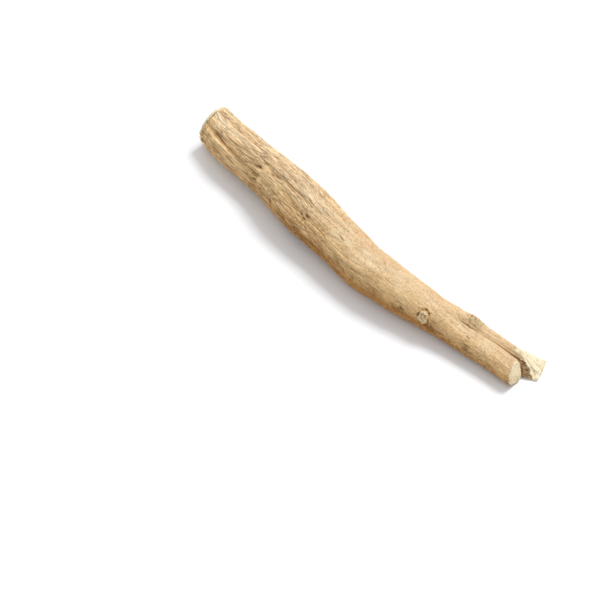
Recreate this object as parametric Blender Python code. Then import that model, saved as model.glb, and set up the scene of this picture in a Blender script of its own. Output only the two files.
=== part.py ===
"""One dried ashwagandha root, lying on its underside, with a short side root near its tip.

The root runs along X, from its cut head at -X to its tip at +X. Both the root and its side root
are a section carried along a curve. The bark's furrows, ribs, knots and pits are worked out as a
height over that smooth form, and the side root is then fused into the root as one solid.
Lengths are in millimetres and angles in degrees, measured round the root from +Y over the top.
"""

import bpy
import numpy as np

MM = 0.001

# The root: place along it, sideways place of its middle, thickness.
ROOT_STATIONS = (
    (0.8, -0.1, 13.0),
    (4.0, -0.5, 13.1),
    (14.0, -1.8, 14.0),
    (24.0, -2.2, 14.1),
    (33.0, -2.4, 14.9),
    (48.0, -4.1, 16.2),
    (65.0, -5.3, 15.0),
    (81.0, -6.3, 14.6),
    (98.0, -4.7, 12.9),
    (105.0, -3.5, 11.9),
    (112.0, -2.6, 10.0),
    (119.0, -2.1, 8.6),
    (131.0, -0.8, 7.8),
    (140.3, -0.2, 7.4),
)
ROOT_ROWS = 72
ROOT_COLUMNS = 64

# The side root: place along X, sideways place, height of its middle, half width, half height.
SIDE_STATIONS = (
    (91.0, -3.2, 6.6, 1.8, 1.8),
    (102.0, -0.7, 5.4, 3.0, 3.0),
    (110.0, 1.5, 4.3, 3.2, 3.2),
    (117.0, 3.1, 3.6, 3.3, 3.2),
    (122.5, 3.8, 3.1, 3.0, 2.9),
    (127.5, 4.4, 2.9, 3.0, 2.8),
    (131.0, 5.0, 2.6, 3.1, 2.7),
    (134.5, 5.9, 2.1, 3.4, 2.4),
    (138.5, 7.0, 1.3, 4.0, 1.9),
    (142.3, 8.8, 0.7, 3.9, 1.1),
)
SIDE_ROWS = 26
SIDE_COLUMNS = 28

SIDE_TIP_DISH = 0.3
# Its low ripples: waves round it, share of the radius, turn in radians per mm.
RIPPLES = (
    (7, 0.045, 0.11),
    (4, 0.035, -0.17),
)

# The long slanting break that bares the side root's wood: a point on it, its upward normal, and
# how near to it a face counts as wood.
BREAK_POINT = (132.0, 6.2, 4.4)
BREAK_NORMAL = (0.31, 0.05, 0.95)
BREAK_SKIN = 0.02

# Where the root lies on the ground: places along it, half the length of each flat spot, how far
# the round form sinks there, how clear the root is elsewhere, and half the angle kept calm.
REST_PLACES = (9.0, 79.0)
REST_HALF_LENGTH = 5.0
REST_DEPTH = 0.45
CLEARANCE = 0.25
REST_HALF_ANGLE = 40.0

# The slow change of section: waves round the root, share of the radius, start, turn per mm.
LOBES = (
    (2, 0.030, 20.0, 0.9),
    (3, 0.022, 95.0, -0.6),
    (5, 0.012, 40.0, 1.7),
)

# Long furrows: angle where each starts, first and last place, depth, half width round the root.
FURROWS = (
    (72.0, -6.0, 44.0, 0.75, 7.0),
    (104.0, 26.0, 66.0, 0.55, 6.0),
    (138.0, 2.0, 38.0, 0.75, 7.0),
    (128.0, 40.0, 84.0, 0.75, 6.5),
    (162.0, 12.0, 60.0, 0.55, 7.0),
    (158.0, 58.0, 98.0, 0.50, 6.5),
    (190.0, -6.0, 52.0, 0.65, 7.5),
    (186.0, 54.0, 112.0, 0.50, 7.0),
    (226.0, 4.0, 74.0, 0.70, 8.0),
    (252.0, 42.0, 108.0, 0.50, 7.0),
    (286.0, 10.0, 70.0, 0.70, 8.0),
    (318.0, -6.0, 62.0, 0.65, 7.5),
    (330.0, 52.0, 100.0, 0.50, 7.0),
    (2.0, 4.0, 60.0, 0.65, 7.5),
    (34.0, 16.0, 80.0, 0.60, 7.0),
    (60.0, 48.0, 92.0, 0.45, 6.5),
)
FURROW_DRIFT = 0.22
FURROW_WANDER = 4.0
FURROW_WAVE = 37.0
FURROW_FADE = 9.0

# Ribs between the furrows: waves round the root, height, turn per mm, waves along per mm.
RIBS = (
    (13, 0.17, 1.6, 0.020),
    (17, 0.13, -1.1, 0.031),
    (9, 0.16, 0.8, 0.043),
)
# How rough the bark is along the root: furrowed from the head to the middle, smoother after.
ROUGHNESS = (
    (0.0, 0.9),
    (20.0, 1.0),
    (60.0, 1.0),
    (84.0, 0.7),
    (104.0, 0.4),
    (139.0, 0.35),
)

# Knots where rootlets broke off: place, angle, radius, height, depth of the rim round it.
KNOTS = (
    (107.4, 155.0, 1.7, 0.55, 0.35),
    (87.7, 163.0, 0.9, 0.45, 0.15),
    (113.9, 182.0, 1.0, 0.45, 0.20),
    (34.0, 158.0, 1.6, 0.40, 0.25),
    (62.0, 300.0, 1.5, 0.50, 0.30),
    (88.0, 338.0, 1.4, 0.50, 0.30),
)
RIM_REACH = 1.45
RIM_WIDTH = 0.45

# Pits: place, angle, radius, depth.
PITS = (
    (31.0, 125.0, 1.7, 0.50),
    (56.7, 136.0, 1.8, 0.50),
    (99.7, 168.0, 1.7, 0.40),
    (39.0, 109.0, 1.9, 0.35),
    (48.0, 250.0, 1.9, 0.45),
    (24.0, 345.0, 1.8, 0.45),
)

# The cut ends: width of the worn edge, lean of each face along X for each mm out to +Y and each
# mm up, how far back from the face the lean reaches, the inner rings, the least X part of a cut
# face's normal, and how far each face is sunk or stands proud.
END_EDGE = 0.5
HEAD_LEAN = (-0.20, 0.12)
TIP_LEAN = (-0.38, -0.17)
LEAN_REACH = 6.0
CAP_RINGS = (0.92, 0.66, 0.34)
FACE_TURN = 0.8
HEAD_DISH = -0.35
TIP_DISH = 0.30

# The middle of the whole root's box, which becomes the origin.
BOX_MIDDLE = (71.87, -0.63)

BARK_COLOUR = (0.64, 0.44, 0.24)
BARK_ROUGHNESS = 0.85
WOOD_COLOUR = (0.86, 0.74, 0.50)
WOOD_ROUGHNESS = 0.80


def clear_scene():
    """Takes every object out of the scene."""
    for obj in list(bpy.data.objects):
        bpy.data.objects.remove(obj, do_unlink=True)


def material(name, colour, roughness):
    """A plain matt material."""
    made = bpy.data.materials.new(name)
    made.use_nodes = True
    shader = made.node_tree.nodes["Principled BSDF"]
    shader.inputs["Base Color"].default_value = (*colour, 1.0)
    shader.inputs["Roughness"].default_value = roughness
    shader.inputs["Metallic"].default_value = 0.0
    made.diffuse_color = (*colour, 1.0)
    return made


def through(stations, place):
    """A smooth curve through the stations: a cubic between each two, its slope set by their neighbours."""
    known = np.array(stations)
    at, value = known[:, 0], known[:, 1:]
    slope = np.gradient(value, at, axis=0)
    low = np.clip(np.searchsorted(at, place, side="right") - 1, 0, len(at) - 2)
    span = (at[low + 1] - at[low])[:, None]
    t = (place - at[low])[:, None] / span
    start = (2 * t**3 - 3 * t**2 + 1) * value[low] + (t**3 - 2 * t**2 + t) * span * slope[low]
    end = (3 * t**2 - 2 * t**3) * value[low + 1] + (t**3 - t**2) * span * slope[low + 1]
    return (start + end).T


def step(value):
    """0 below 0, 1 above 1, and a smooth rise between."""
    t = np.clip(value, 0.0, 1.0)
    return t * t * (3 - 2 * t)


def turn_between(angle, other):
    """The difference of two angles in degrees, from -180 to 180."""
    return (angle - other + 180.0) % 360.0 - 180.0


def lobed(place, angle):
    """The section's factor on the radius: a few slow waves round the root that turn along it."""
    factor = np.ones_like(angle)
    for waves, share, start, turn in LOBES:
        factor += share * np.cos(np.radians(waves * (angle - start) + turn * place))
    return factor


def furrow_height(place, angle):
    """Long valleys that drift round the root and wander, and fade in and out at their ends."""
    height = np.zeros_like(angle)
    for count, (start, first, last, depth, half) in enumerate(FURROWS):
        sway = FURROW_WANDER * np.sin(2 * np.pi * place / FURROW_WAVE + 1.7 * count)
        path = start + FURROW_DRIFT * (place - first) + sway
        fade = step((place - first) / FURROW_FADE) * step((last - place) / FURROW_FADE)
        height -= depth * fade * np.exp(-((turn_between(angle, path) / half) ** 2))
    return height


def rib_height(place, angle):
    """Ribs along the root, each set a few waves round it that turn and swell along it."""
    height = np.zeros_like(angle)
    for waves, high, turn, swell in RIBS:
        size = 0.6 + 0.4 * np.sin(2 * np.pi * swell * place + waves)
        height += high * size * np.sin(np.radians(waves * angle + turn * place))
    return height


def spot_distance(place, angle, radius, spot_place, spot_angle):
    """Distance over the bark from a spot, in millimetres."""
    round_way = np.radians(turn_between(angle, spot_angle)) * radius
    return np.hypot(place - spot_place, round_way)


def knot_height(place, angle, radius):
    """Round knots, each in a sunken rim, and shallow pits."""
    height = np.zeros_like(angle)
    for at, turned, size, high, rim in KNOTS:
        off = spot_distance(place, angle, radius, at, turned) / size
        height += high * np.exp(-(off**4))
        height -= rim * np.exp(-(((off - RIM_REACH) / RIM_WIDTH) ** 2))
    for at, turned, size, depth in PITS:
        off = spot_distance(place, angle, radius, at, turned) / size
        height -= depth * np.exp(-(off**2))
    return height


def rest_press(place):
    """1 where the underside rests, falling to 0 away from there."""
    press = np.zeros_like(place)
    for rest in REST_PLACES:
        press += np.exp(-(((place - rest) / REST_HALF_LENGTH) ** 2))
    return press


def root_radius(place, angle, thickness):
    """The root's radius with its section, furrows, ribs and knots, calm where it rests."""
    radius = thickness / 2
    rough = np.interp(place, *np.array(ROUGHNESS).T)
    under = np.exp(-((turn_between(angle, 270.0) / REST_HALF_ANGLE) ** 4)) * np.clip(rest_press(place), 0, 1)
    relief = rough * (furrow_height(place, angle) + rib_height(place, angle))
    relief += knot_height(place, angle, radius)
    return radius * (1 + (lobed(place, angle) - 1) * (1 - under)) + relief * (1 - under)


def capped(rings, head_middle, tip_middle, head_dish, tip_dish):
    """Rings with each end closed by smaller rings round the end's middle, dished or proud along X."""
    def cap(ring, middle, dish):
        inner = []
        for share in CAP_RINGS:
            circle = middle + (ring - middle) * share
            circle[:, 0] += dish * (1 - share)
            inner.append(circle)
        return inner

    head = cap(rings[0], head_middle, -head_dish)
    tip = cap(rings[-1], tip_middle, tip_dish)
    body = np.concatenate([head[::-1], rings, tip])
    poles = np.array([head_middle, tip_middle])
    poles[:, 0] += (-head_dish, tip_dish)
    return body, poles


def tube_mesh(name, rings, poles):
    """A closed mesh of quads between neighbouring rings, with a fan to the pole at each end."""
    rows, columns = rings.shape[:2]
    here = np.arange(rows * columns).reshape(rows, columns)
    beside = np.roll(here, -1, axis=1)
    quads = np.stack([here[:-1], beside[:-1], beside[1:], here[1:]], axis=-1).reshape(-1, 4)
    first_pole = rows * columns
    head_fan = [(first_pole, b, a) for a, b in zip(here[0].tolist(), beside[0].tolist())]
    tip_fan = [(first_pole + 1, a, b) for a, b in zip(here[-1].tolist(), beside[-1].tolist())]
    points = np.concatenate([rings.reshape(-1, 3), poles])
    points[:, :2] -= BOX_MIDDLE
    mesh = bpy.data.meshes.new(name)
    mesh.from_pydata((points * MM).tolist(), [], quads.tolist() + head_fan + tip_fan)
    mesh.update()
    return mesh


def place_object(name, mesh, materials):
    """Puts the mesh in the scene with its materials, shaded smooth but for its cut edges."""
    obj = bpy.data.objects.new(name, mesh)
    bpy.context.scene.collection.objects.link(obj)
    for each in materials:
        mesh.materials.append(each)
    mesh.shade_smooth()
    mesh.set_sharp_from_angle(angle=np.radians(50.0))
    return obj


def mark_wood(mesh, is_wood):
    """Gives the second material to the faces that the test picks, by place and by outward direction."""
    for face in mesh.polygons:
        middle = np.array(face.center) / MM + (*BOX_MIDDLE, 0.0)
        face.material_index = int(is_wood(middle, np.array(face.normal)))


def main_root(materials):
    """The root: rings square to its curve, with the relief along their radius, flat where it rests."""
    start, length = ROOT_STATIONS[0][0], ROOT_STATIONS[-1][0]
    body = np.linspace(start + END_EDGE, length - END_EDGE, ROOT_ROWS - 2)
    along = np.concatenate([[start], body, [length]])
    turn = np.arange(ROOT_COLUMNS) * 360.0 / ROOT_COLUMNS
    sideways, thickness = through(ROOT_STATIONS, along)
    place, angle = np.meshgrid(along, turn, indexing="ij")
    radius = root_radius(place, angle, thickness[:, None])
    radius[[0, -1]] -= END_EDGE
    radians = np.radians(angle)
    out, up = radius * np.cos(radians), radius * np.sin(radians)
    slope = np.gradient(sideways, along)[:, None]
    tilt = np.hypot(1.0, slope)
    gap = CLEARANCE - (CLEARANCE + REST_DEPTH) * rest_press(along)
    middle_height = thickness / 2 + gap
    lean = step(1 - (place - start) / LEAN_REACH) * (HEAD_LEAN[0] * out + HEAD_LEAN[1] * up)
    lean += step(1 - (length - place) / LEAN_REACH) * (TIP_LEAN[0] * out + TIP_LEAN[1] * up)
    x = place - out * slope / tilt + lean
    y = sideways[:, None] + out / tilt
    z = np.maximum(middle_height[:, None] + up, 0.0)
    ends = [np.array([along[k], sideways[k], middle_height[k]]) for k in (0, -1)]
    rings, poles = capped(np.stack([x, y, z], axis=-1), *ends, HEAD_DISH, TIP_DISH)
    mesh = tube_mesh("ashwagandha_root", rings, poles)
    obj = place_object("ashwagandha_root", mesh, materials)

    def on_cut(middle, normal):
        return abs(normal[0]) > FACE_TURN and abs(middle[0] - length / 2) > length / 2 - LEAN_REACH

    mark_wood(mesh, on_cut)
    return obj


def break_height(x, y):
    """Height of the slanting break over a point of the floor."""
    fall = BREAK_NORMAL[0] * (x - BREAK_POINT[0]) + BREAK_NORMAL[1] * (y - BREAK_POINT[1])
    return BREAK_POINT[2] - fall / BREAK_NORMAL[2]


def side_root(materials):
    """The side root: ellipses along its own curve, each ray of them cut short at the slanting break."""
    first, last = SIDE_STATIONS[0][0], SIDE_STATIONS[-1][0]
    along = np.linspace(first, last, SIDE_ROWS)
    turn = np.arange(SIDE_COLUMNS) * 360.0 / SIDE_COLUMNS
    sideways, height, half_width, half_height = (row[:, None] for row in through(SIDE_STATIONS, along))
    place, angle = np.meshgrid(along, np.radians(turn), indexing="ij")
    slope = np.gradient(sideways[:, 0], along)[:, None]
    tilt = np.hypot(1.0, slope)
    ellipse = half_width * half_height / np.hypot(half_height * np.cos(angle), half_width * np.sin(angle))
    ripple = 1 + sum(share * np.sin(waves * angle + turn_by * place) for waves, share, turn_by in RIPPLES)
    room = break_height(along[:, None], sideways) - height
    fall = (BREAK_NORMAL[0] * slope - BREAK_NORMAL[1]) / (BREAK_NORMAL[2] * tilt)
    rise = np.sin(angle) - fall * np.cos(angle)
    reach = np.where(rise > 0, room / np.maximum(rise, 1e-6), np.inf)
    radius = np.minimum(ellipse * ripple, reach)
    out = radius * np.cos(angle)
    x = place - out * slope / tilt
    y = sideways + out / tilt
    z = np.maximum(height + radius * np.sin(angle), 0.0)
    ends = [np.array([along[k], sideways[k, 0], height[k, 0]]) for k in (0, -1)]
    rings, poles = capped(np.stack([x, y, z], axis=-1), *ends, 0.0, SIDE_TIP_DISH)
    mesh = tube_mesh("side_root", rings, poles)
    obj = place_object("side_root", mesh, materials)

    def on_break(middle, _normal):
        return middle[2] > break_height(*middle[:2]) - BREAK_SKIN

    mark_wood(mesh, on_break)
    return obj


def fuse(obj, addition):
    """Joins the addition into the object as one closed solid and takes it out of the scene."""
    union = obj.modifiers.new("fuse", "BOOLEAN")
    union.operation = "UNION"
    union.solver = "EXACT"
    union.object = addition
    graph = bpy.context.evaluated_depsgraph_get()
    fused = bpy.data.meshes.new_from_object(obj.evaluated_get(graph))
    obj.modifiers.clear()
    obj.data = fused
    fused.name = obj.name
    bpy.data.objects.remove(addition, do_unlink=True)


def main():
    clear_scene()
    bark = material("bark", BARK_COLOUR, BARK_ROUGHNESS)
    wood = material("cut_wood", WOOD_COLOUR, WOOD_ROUGHNESS)
    root = main_root((bark, wood))
    branch = side_root((bark, wood))
    fuse(root, branch)


main()
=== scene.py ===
"""The finish of one dried ashwagandha root: its wrinkled bark, its bared wood, and its studio.

Laid out as an add-on with a panel, and run as a script. The root and its side root are each a
surface over two parameters, the place along it and the angle round it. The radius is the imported
solid's own smooth law, with its furrows, ribs, knots and pits, and finer wrinkles, creases, torn
wood and bark edges are added to it. Lengths are in millimetres and angles in degrees, measured
round the root from +Y over the top, until a mesh is made in metres.
"""

import math

import bpy
import numpy as np
from bpy.props import FloatProperty, FloatVectorProperty, PointerProperty
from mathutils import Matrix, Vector


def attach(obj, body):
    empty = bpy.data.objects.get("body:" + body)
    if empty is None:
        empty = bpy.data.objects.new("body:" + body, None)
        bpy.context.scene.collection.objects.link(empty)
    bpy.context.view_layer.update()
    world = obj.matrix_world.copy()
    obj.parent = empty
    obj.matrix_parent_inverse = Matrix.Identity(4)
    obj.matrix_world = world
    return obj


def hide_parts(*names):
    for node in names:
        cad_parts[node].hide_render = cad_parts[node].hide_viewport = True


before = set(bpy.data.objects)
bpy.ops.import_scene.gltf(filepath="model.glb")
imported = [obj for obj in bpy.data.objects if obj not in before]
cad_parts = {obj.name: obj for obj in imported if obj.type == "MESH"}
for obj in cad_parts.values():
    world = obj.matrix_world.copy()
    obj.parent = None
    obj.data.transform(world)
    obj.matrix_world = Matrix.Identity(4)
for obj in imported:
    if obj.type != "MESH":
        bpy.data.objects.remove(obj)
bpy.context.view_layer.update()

bl_info = {
    "name": "Dried ashwagandha root",
    "version": (1, 0, 0),
    "blender": (4, 5, 0),
    "location": "View3D > Sidebar > Root",
    "description": "Builds the bark, the bared wood and the studio of a dried ashwagandha root",
    "category": "Add Mesh",
}

MM = 0.001
NODE = "ashwagandha_root"
BODY = "root"

# The root: place along it, sideways place of its middle, thickness.
ROOT_STATIONS = (
    (0.8, -0.1, 13), (4, -0.5, 13.1), (14, -1.8, 14), (24, -2.2, 14.1), (33, -2.4, 14.9),
    (48, -4.1, 16.2), (65, -5.3, 15), (81, -6.3, 14.6), (98, -4.7, 12.9), (105, -3.5, 11.9),
    (112, -2.6, 10), (119, -2.1, 8.6), (131, -0.8, 7.8), (140.3, -0.2, 7.4),
)
ROOT_ROWS = 246
ROOT_COLUMNS = 360
# The columns lie closer on the upper side: the middle angle, half the angle, how many times closer.
ROOT_FINE_SIDE = (121, 100, 0.9)

# The side root: place along X, sideways place, height of its middle, half width, half height.
SIDE_STATIONS = (
    (91, -3.2, 6.6, 1.8, 1.8), (102, -0.7, 5.4, 3, 3), (110, 1.5, 4.3, 3.2, 3.2),
    (117, 3.1, 3.6, 3.3, 3.2), (122.5, 3.8, 3.1, 3, 2.9), (127.5, 4.4, 2.9, 3, 2.8),
    (131, 5, 2.6, 3.1, 2.7), (134.5, 5.9, 2.1, 3.4, 2.4), (138.5, 7, 1.3, 4, 1.9),
    (142.3, 8.8, 0.7, 3.9, 1.1),
)
SIDE_ROWS = 230
SIDE_COLUMNS = 190
SIDE_TIP_DISH = 0.3
SIDE_RADIUS = 3.2  # on average
# Its low ripples: waves round it, share of the radius, turn in radians per mm.
RIPPLES = ((7, 0.045, 0.11), (4, 0.035, -0.17))

# The rough knob where it parts from the root: place and half length, height.
KNOB_PLACE = (118, 3.2)
KNOB_HEIGHT = 0.12
# The bark still stands on the near side of this line over the floor: place along X, sideways place.
WOOD_EDGE = ((132.3, 9.8), (134, 7.8), (135.4, 6.5), (137.5, 6), (139.4, 5.6), (140.3, 3))

# The long slanting break that bares the side root's wood: a point on it and its upward normal.
BREAK_POINT = (132, 6.2, 4.4)
BREAK_NORMAL = (0.31, 0.05, 0.95)
# Its fibres: how many degrees of noise a millimetre across them takes, the height of the ledges in
# steps, and how far all is sunk. Then where the wood starts, with the length over which it does, where
# the far side, as middle angle, half angle and fade, and the end are bare of bark.
FIBRE_TURN = 22
LEDGE_HEIGHT = 0.22
FIBRE_DEPTH = 0.12
WOOD_STARTS = (130, 1)
FAR_SIDE = (30, 70, 12)
FAR_SIDE_BARES = (133, 0.5)
END_BARES = (140.5, 0.5)
# The side root's rough places, its blotch and its rust, as place and half length, and where the
# painted contact shadow between it and the root starts.
ROUGH_KNOB = (118.5, 3)
ROUGH_END = (139, 4)
BLOTCH = (136.5, 4.5)
RUSTED = (131, 7)
SEAM_SHADOW_FROM = 100

# Where the root lies on the ground: places along it, half the length of each flat spot, how far
# the round form sinks there, how clear the root is elsewhere, and half the angle kept calm.
REST_PLACES = (9, 79)
REST_HALF_LENGTH = 5
REST_DEPTH = 0.45
CLEARANCE = 0.25
REST_HALF_ANGLE = 40

# The slow change of section: waves round the root, share of the radius, start, turn per mm.
LOBES = ((2, 0.03, 20, 0.9), (3, 0.022, 95, -0.6), (5, 0.012, 40, 1.7))

# Long furrows: angle where each starts, first and last place, depth, half width round the root.
# They drift in degrees per mm, and wander by so many degrees in waves of that length.
FURROWS = (
    (72, -6, 44, 0.75, 7), (104, 26, 66, 0.55, 6), (138, 2, 38, 0.75, 7), (128, 40, 84, 0.75, 6.5),
    (162, 12, 60, 0.55, 7), (158, 58, 98, 0.5, 6.5), (190, -6, 52, 0.65, 7.5),
    (186, 54, 112, 0.5, 7), (226, 4, 74, 0.7, 8), (252, 42, 108, 0.5, 7), (286, 10, 70, 0.7, 8),
    (318, -6, 62, 0.65, 7.5), (330, 52, 100, 0.5, 7), (2, 4, 60, 0.65, 7.5), (34, 16, 80, 0.6, 7),
    (60, 48, 92, 0.45, 6.5),
)
FURROW_DRIFT = 0.22
FURROW_WANDER = 4
FURROW_WAVE = 37
FURROW_PHASE = 1.7
FURROW_FADE = 9

# Ribs between the furrows: waves round the root, height, turn per mm, waves along per mm, and the
# share by which each swells and shrinks.
RIBS = ((13, 0.17, 1.6, 0.02), (17, 0.13, -1.1, 0.031), (9, 0.16, 0.8, 0.043))
RIB_SWELL = 0.4
# How rough the bark is along the root: furrowed from the head to the middle, smoother after.
ROUGHNESS = ((0, 0.9), (20, 1), (60, 1), (84, 0.7), (104, 0.4), (139, 0.35))

# Knots where rootlets broke off: place, angle, radius, height, depth of the rim round it.
KNOTS = (
    (107.4, 155, 1.7, 0.55, 0.35), (87.7, 163, 0.9, 0.45, 0.15), (113.9, 182, 1, 0.45, 0.2),
    (34, 158, 1.6, 0.4, 0.25), (62, 300, 1.5, 0.5, 0.3), (88, 338, 1.4, 0.5, 0.3),
)
RIM_REACH = 1.45
RIM_WIDTH = 0.45

# Pits: place, angle, radius, depth.
PITS = (
    (31, 125, 1.7, 0.5), (56.7, 136, 1.8, 0.5), (99.7, 168, 1.7, 0.4), (39, 109, 1.9, 0.35),
    (48, 250, 1.9, 0.45), (24, 345, 1.8, 0.45),
)

# The cut ends: width of the worn edge, lean of each face along X for each mm out to +Y and each
# mm up, how far back from the face the lean reaches, and how far each face is sunk or proud. Then
# the rings of each face, and the share of its rim that the first and the last of them has.
END_EDGE = 0.5
HEAD_LEAN = (-0.2, 0.12)
TIP_LEAN = (-0.38, -0.17)
LEAN_REACH = 6
HEAD_DISH = -0.35
TIP_DISH = 0.3
CAP_ROWS = 14
CAP_SHARES = (0.965, 0.05)

# The middle of the whole root's box, which is the origin.
BOX_MIDDLE = (71.87, -0.63)

# Fine wrinkles, coarse to fine: length of a cell along the root, cells round it, half width of a
# line, its depth, the height of the folds between lines, how much painted shade darkens a line.
WRINKLES = (
    (15, 18, 0.16, 0.24, 0.28, 0.36), (11, 36, 0.11, 0.21, 0.17, 0.5),
    (7, 60, 0.1, 0.17, 0.1, 0.54), (3.6, 92, 0.09, 0.07, 0.04, 0.3),
)
# The least share of a wave's usual steepness that a line is measured by.
LEAST_STEEPNESS = 0.6
# How strong the fine wrinkles are along the root, their share on the upper side of its smooth half,
# where that half and that side start and end, and how much stronger they are low on the near side.
WRINKLE_SHARES = ((0, 1), (52, 1), (62, 0.7), (70, 0.45), (104, 0.34), (140, 0.42))
SMOOTH_SHARE = 0.55
SMOOTH_FROM = (59, 18)
SMOOTH_SIDE = (-20, 40, 114, 20)
LOWER_WRINKLES = 0.3
# Where the solid's furrows are filled in the bark: place and half length, angle and half angle, and
# the share of their depth that is filled.
FILLED_PLACE = (74, 15)
FILLED_SIDE = (138, 26)
FILLED_SHARE = 0.55
# The bark's grain grows shorter from here to the tip: by how much, and over about what length.
GRAIN_FROM = 52
GRAIN_SHORTER = 2.2
GRAIN_EASE = 18
# The sway of the wrinkles: length of a cell, cells round, degrees.
SWAYS = ((30, 4, 6.5), (11, 9, 1.5), (4.5, 19, 0.5))

# Creases that stand out: half width, depth, darkness of painted shade, and the places and angles each
# runs by.
# Then how far past its ends one is looked for, the length of a degree, and the share of its length
# over which an end thins out.
CREASES = (
    (0.7, 0.3, 0.22, ((5, 70), (10, 73), (13, 80), (16, 84), (20, 84), (24, 80), (27, 83), (31, 87),
     (34, 89))),
    (0.26, 0.22, 0.4, ((9, 73), (13, 80), (16, 84), (20, 84.5), (24, 81), (27, 83.5))),
    (0.26, 0.32, 0.8, ((26.5, 83), (29, 85), (32, 88), (33, 88.5))),
    (0.26, 0.22, 0.45, ((33, 89), (39, 89.5), (41, 90), (44, 88), (48, 83), (52, 83), (55, 84))),
    (0.24, 0.24, 0.6, ((9.5, 114), (11.5, 113), (15, 118), (18, 119), (20, 115), (22, 113),
     (24, 113.5), (26, 112))),
    (0.24, 0.25, 0.75, ((6.5, 130), (8, 126), (9.5, 127), (11, 128), (13, 128), (16.5, 129.5))),
    (0.3, 0.38, 1, ((7.5, 136), (9, 131), (11, 133), (13.7, 137), (15.5, 138))),
    (0.24, 0.28, 0.7, ((15.5, 138), (17, 140), (20, 141.5), (21, 143.5), (22.5, 143), (25, 138),
     (28, 131.5))),
    (0.22, 0.2, 0.5, ((3.5, 161.5), (6, 156), (7, 151), (8.3, 148), (10, 147))),
    (0.2, 0.18, 0.45, ((9.8, 154.5), (11.5, 153), (13, 153.5))),
    (0.2, 0.18, 0.4, ((14, 157), (17, 159.5), (20, 164))),
    (0.2, 0.2, 0.45, ((28, 104), (30, 102), (32, 107), (34, 110), (35.7, 115.5), (37.5, 119))),
    (0.22, 0.22, 0.55, ((39.5, 114.5), (42, 111), (44.5, 110.2), (47, 112.5), (50, 114),
     (52, 110.4), (58, 107))),
    (0.2, 0.16, 0.38, ((44.5, 105.5), (48.9, 106.2), (52, 104))),
    (0.2, 0.18, 0.5, ((42.5, 131.5), (44.5, 129.5), (46.5, 128.7))),
    (0.2, 0.15, 0.35, ((45, 120.5), (48.5, 119), (51, 121))),
    (0.22, 0.18, 0.55, ((50.3, 139.5), (51.5, 138), (54.4, 139.5))),
    (0.2, 0.18, 0.4, ((49, 145), (52.2, 143.8))),
    (0.2, 0.15, 0.35, ((49, 161.5), (52.5, 163), (57, 161))),
    (0.18, 0.22, 0.62, ((60.2, 135.5), (62.5, 135.3), (65, 136), (67.2, 136.8))),
    (0.24, 0.22, 0.65, ((62.3, 148.5), (63.3, 149.5), (64.3, 148))),
    (0.2, 0.16, 0.4, ((63.3, 162), (65.5, 165), (69, 161))),
    (0.28, 0.26, 0.8, ((70.3, 109.5), (71.2, 109), (72.3, 111.5), (73.5, 110.6))),
    (0.2, 0.18, 0.4, ((78.6, 145), (80.3, 146.6), (82, 148.5), (84, 149.5))),
    (0.2, 0.14, 0.35, ((90.5, 119), (93, 121.5), (95, 122))),
    (0.24, 0.2, 0.55, ((90.2, 140), (90.4, 145), (90.6, 150))),
    (0.22, 0.18, 0.45, ((95.5, 143), (97, 148), (98.5, 152))),
    (0.3, 0.35, 1, ((8, 226), (15, 231), (24, 228), (33, 234))),
    (0.26, 0.28, 0.8, ((36, 262), (44, 259), (52, 264))),
    (0.24, 0.24, 0.7, ((18, 300), (26, 304), (34, 299))),
    (0.26, 0.28, 0.8, ((44, 318), (52, 322), (60, 318))),
    (0.24, 0.24, 0.65, ((12, 8), (20, 12), (27, 8))),
    (0.24, 0.24, 0.65, ((58, 20), (66, 24), (74, 21))),
)
CREASE_ROOM = 2
DEGREE_LENGTH = 0.12
CREASE_END = 0.2

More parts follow.
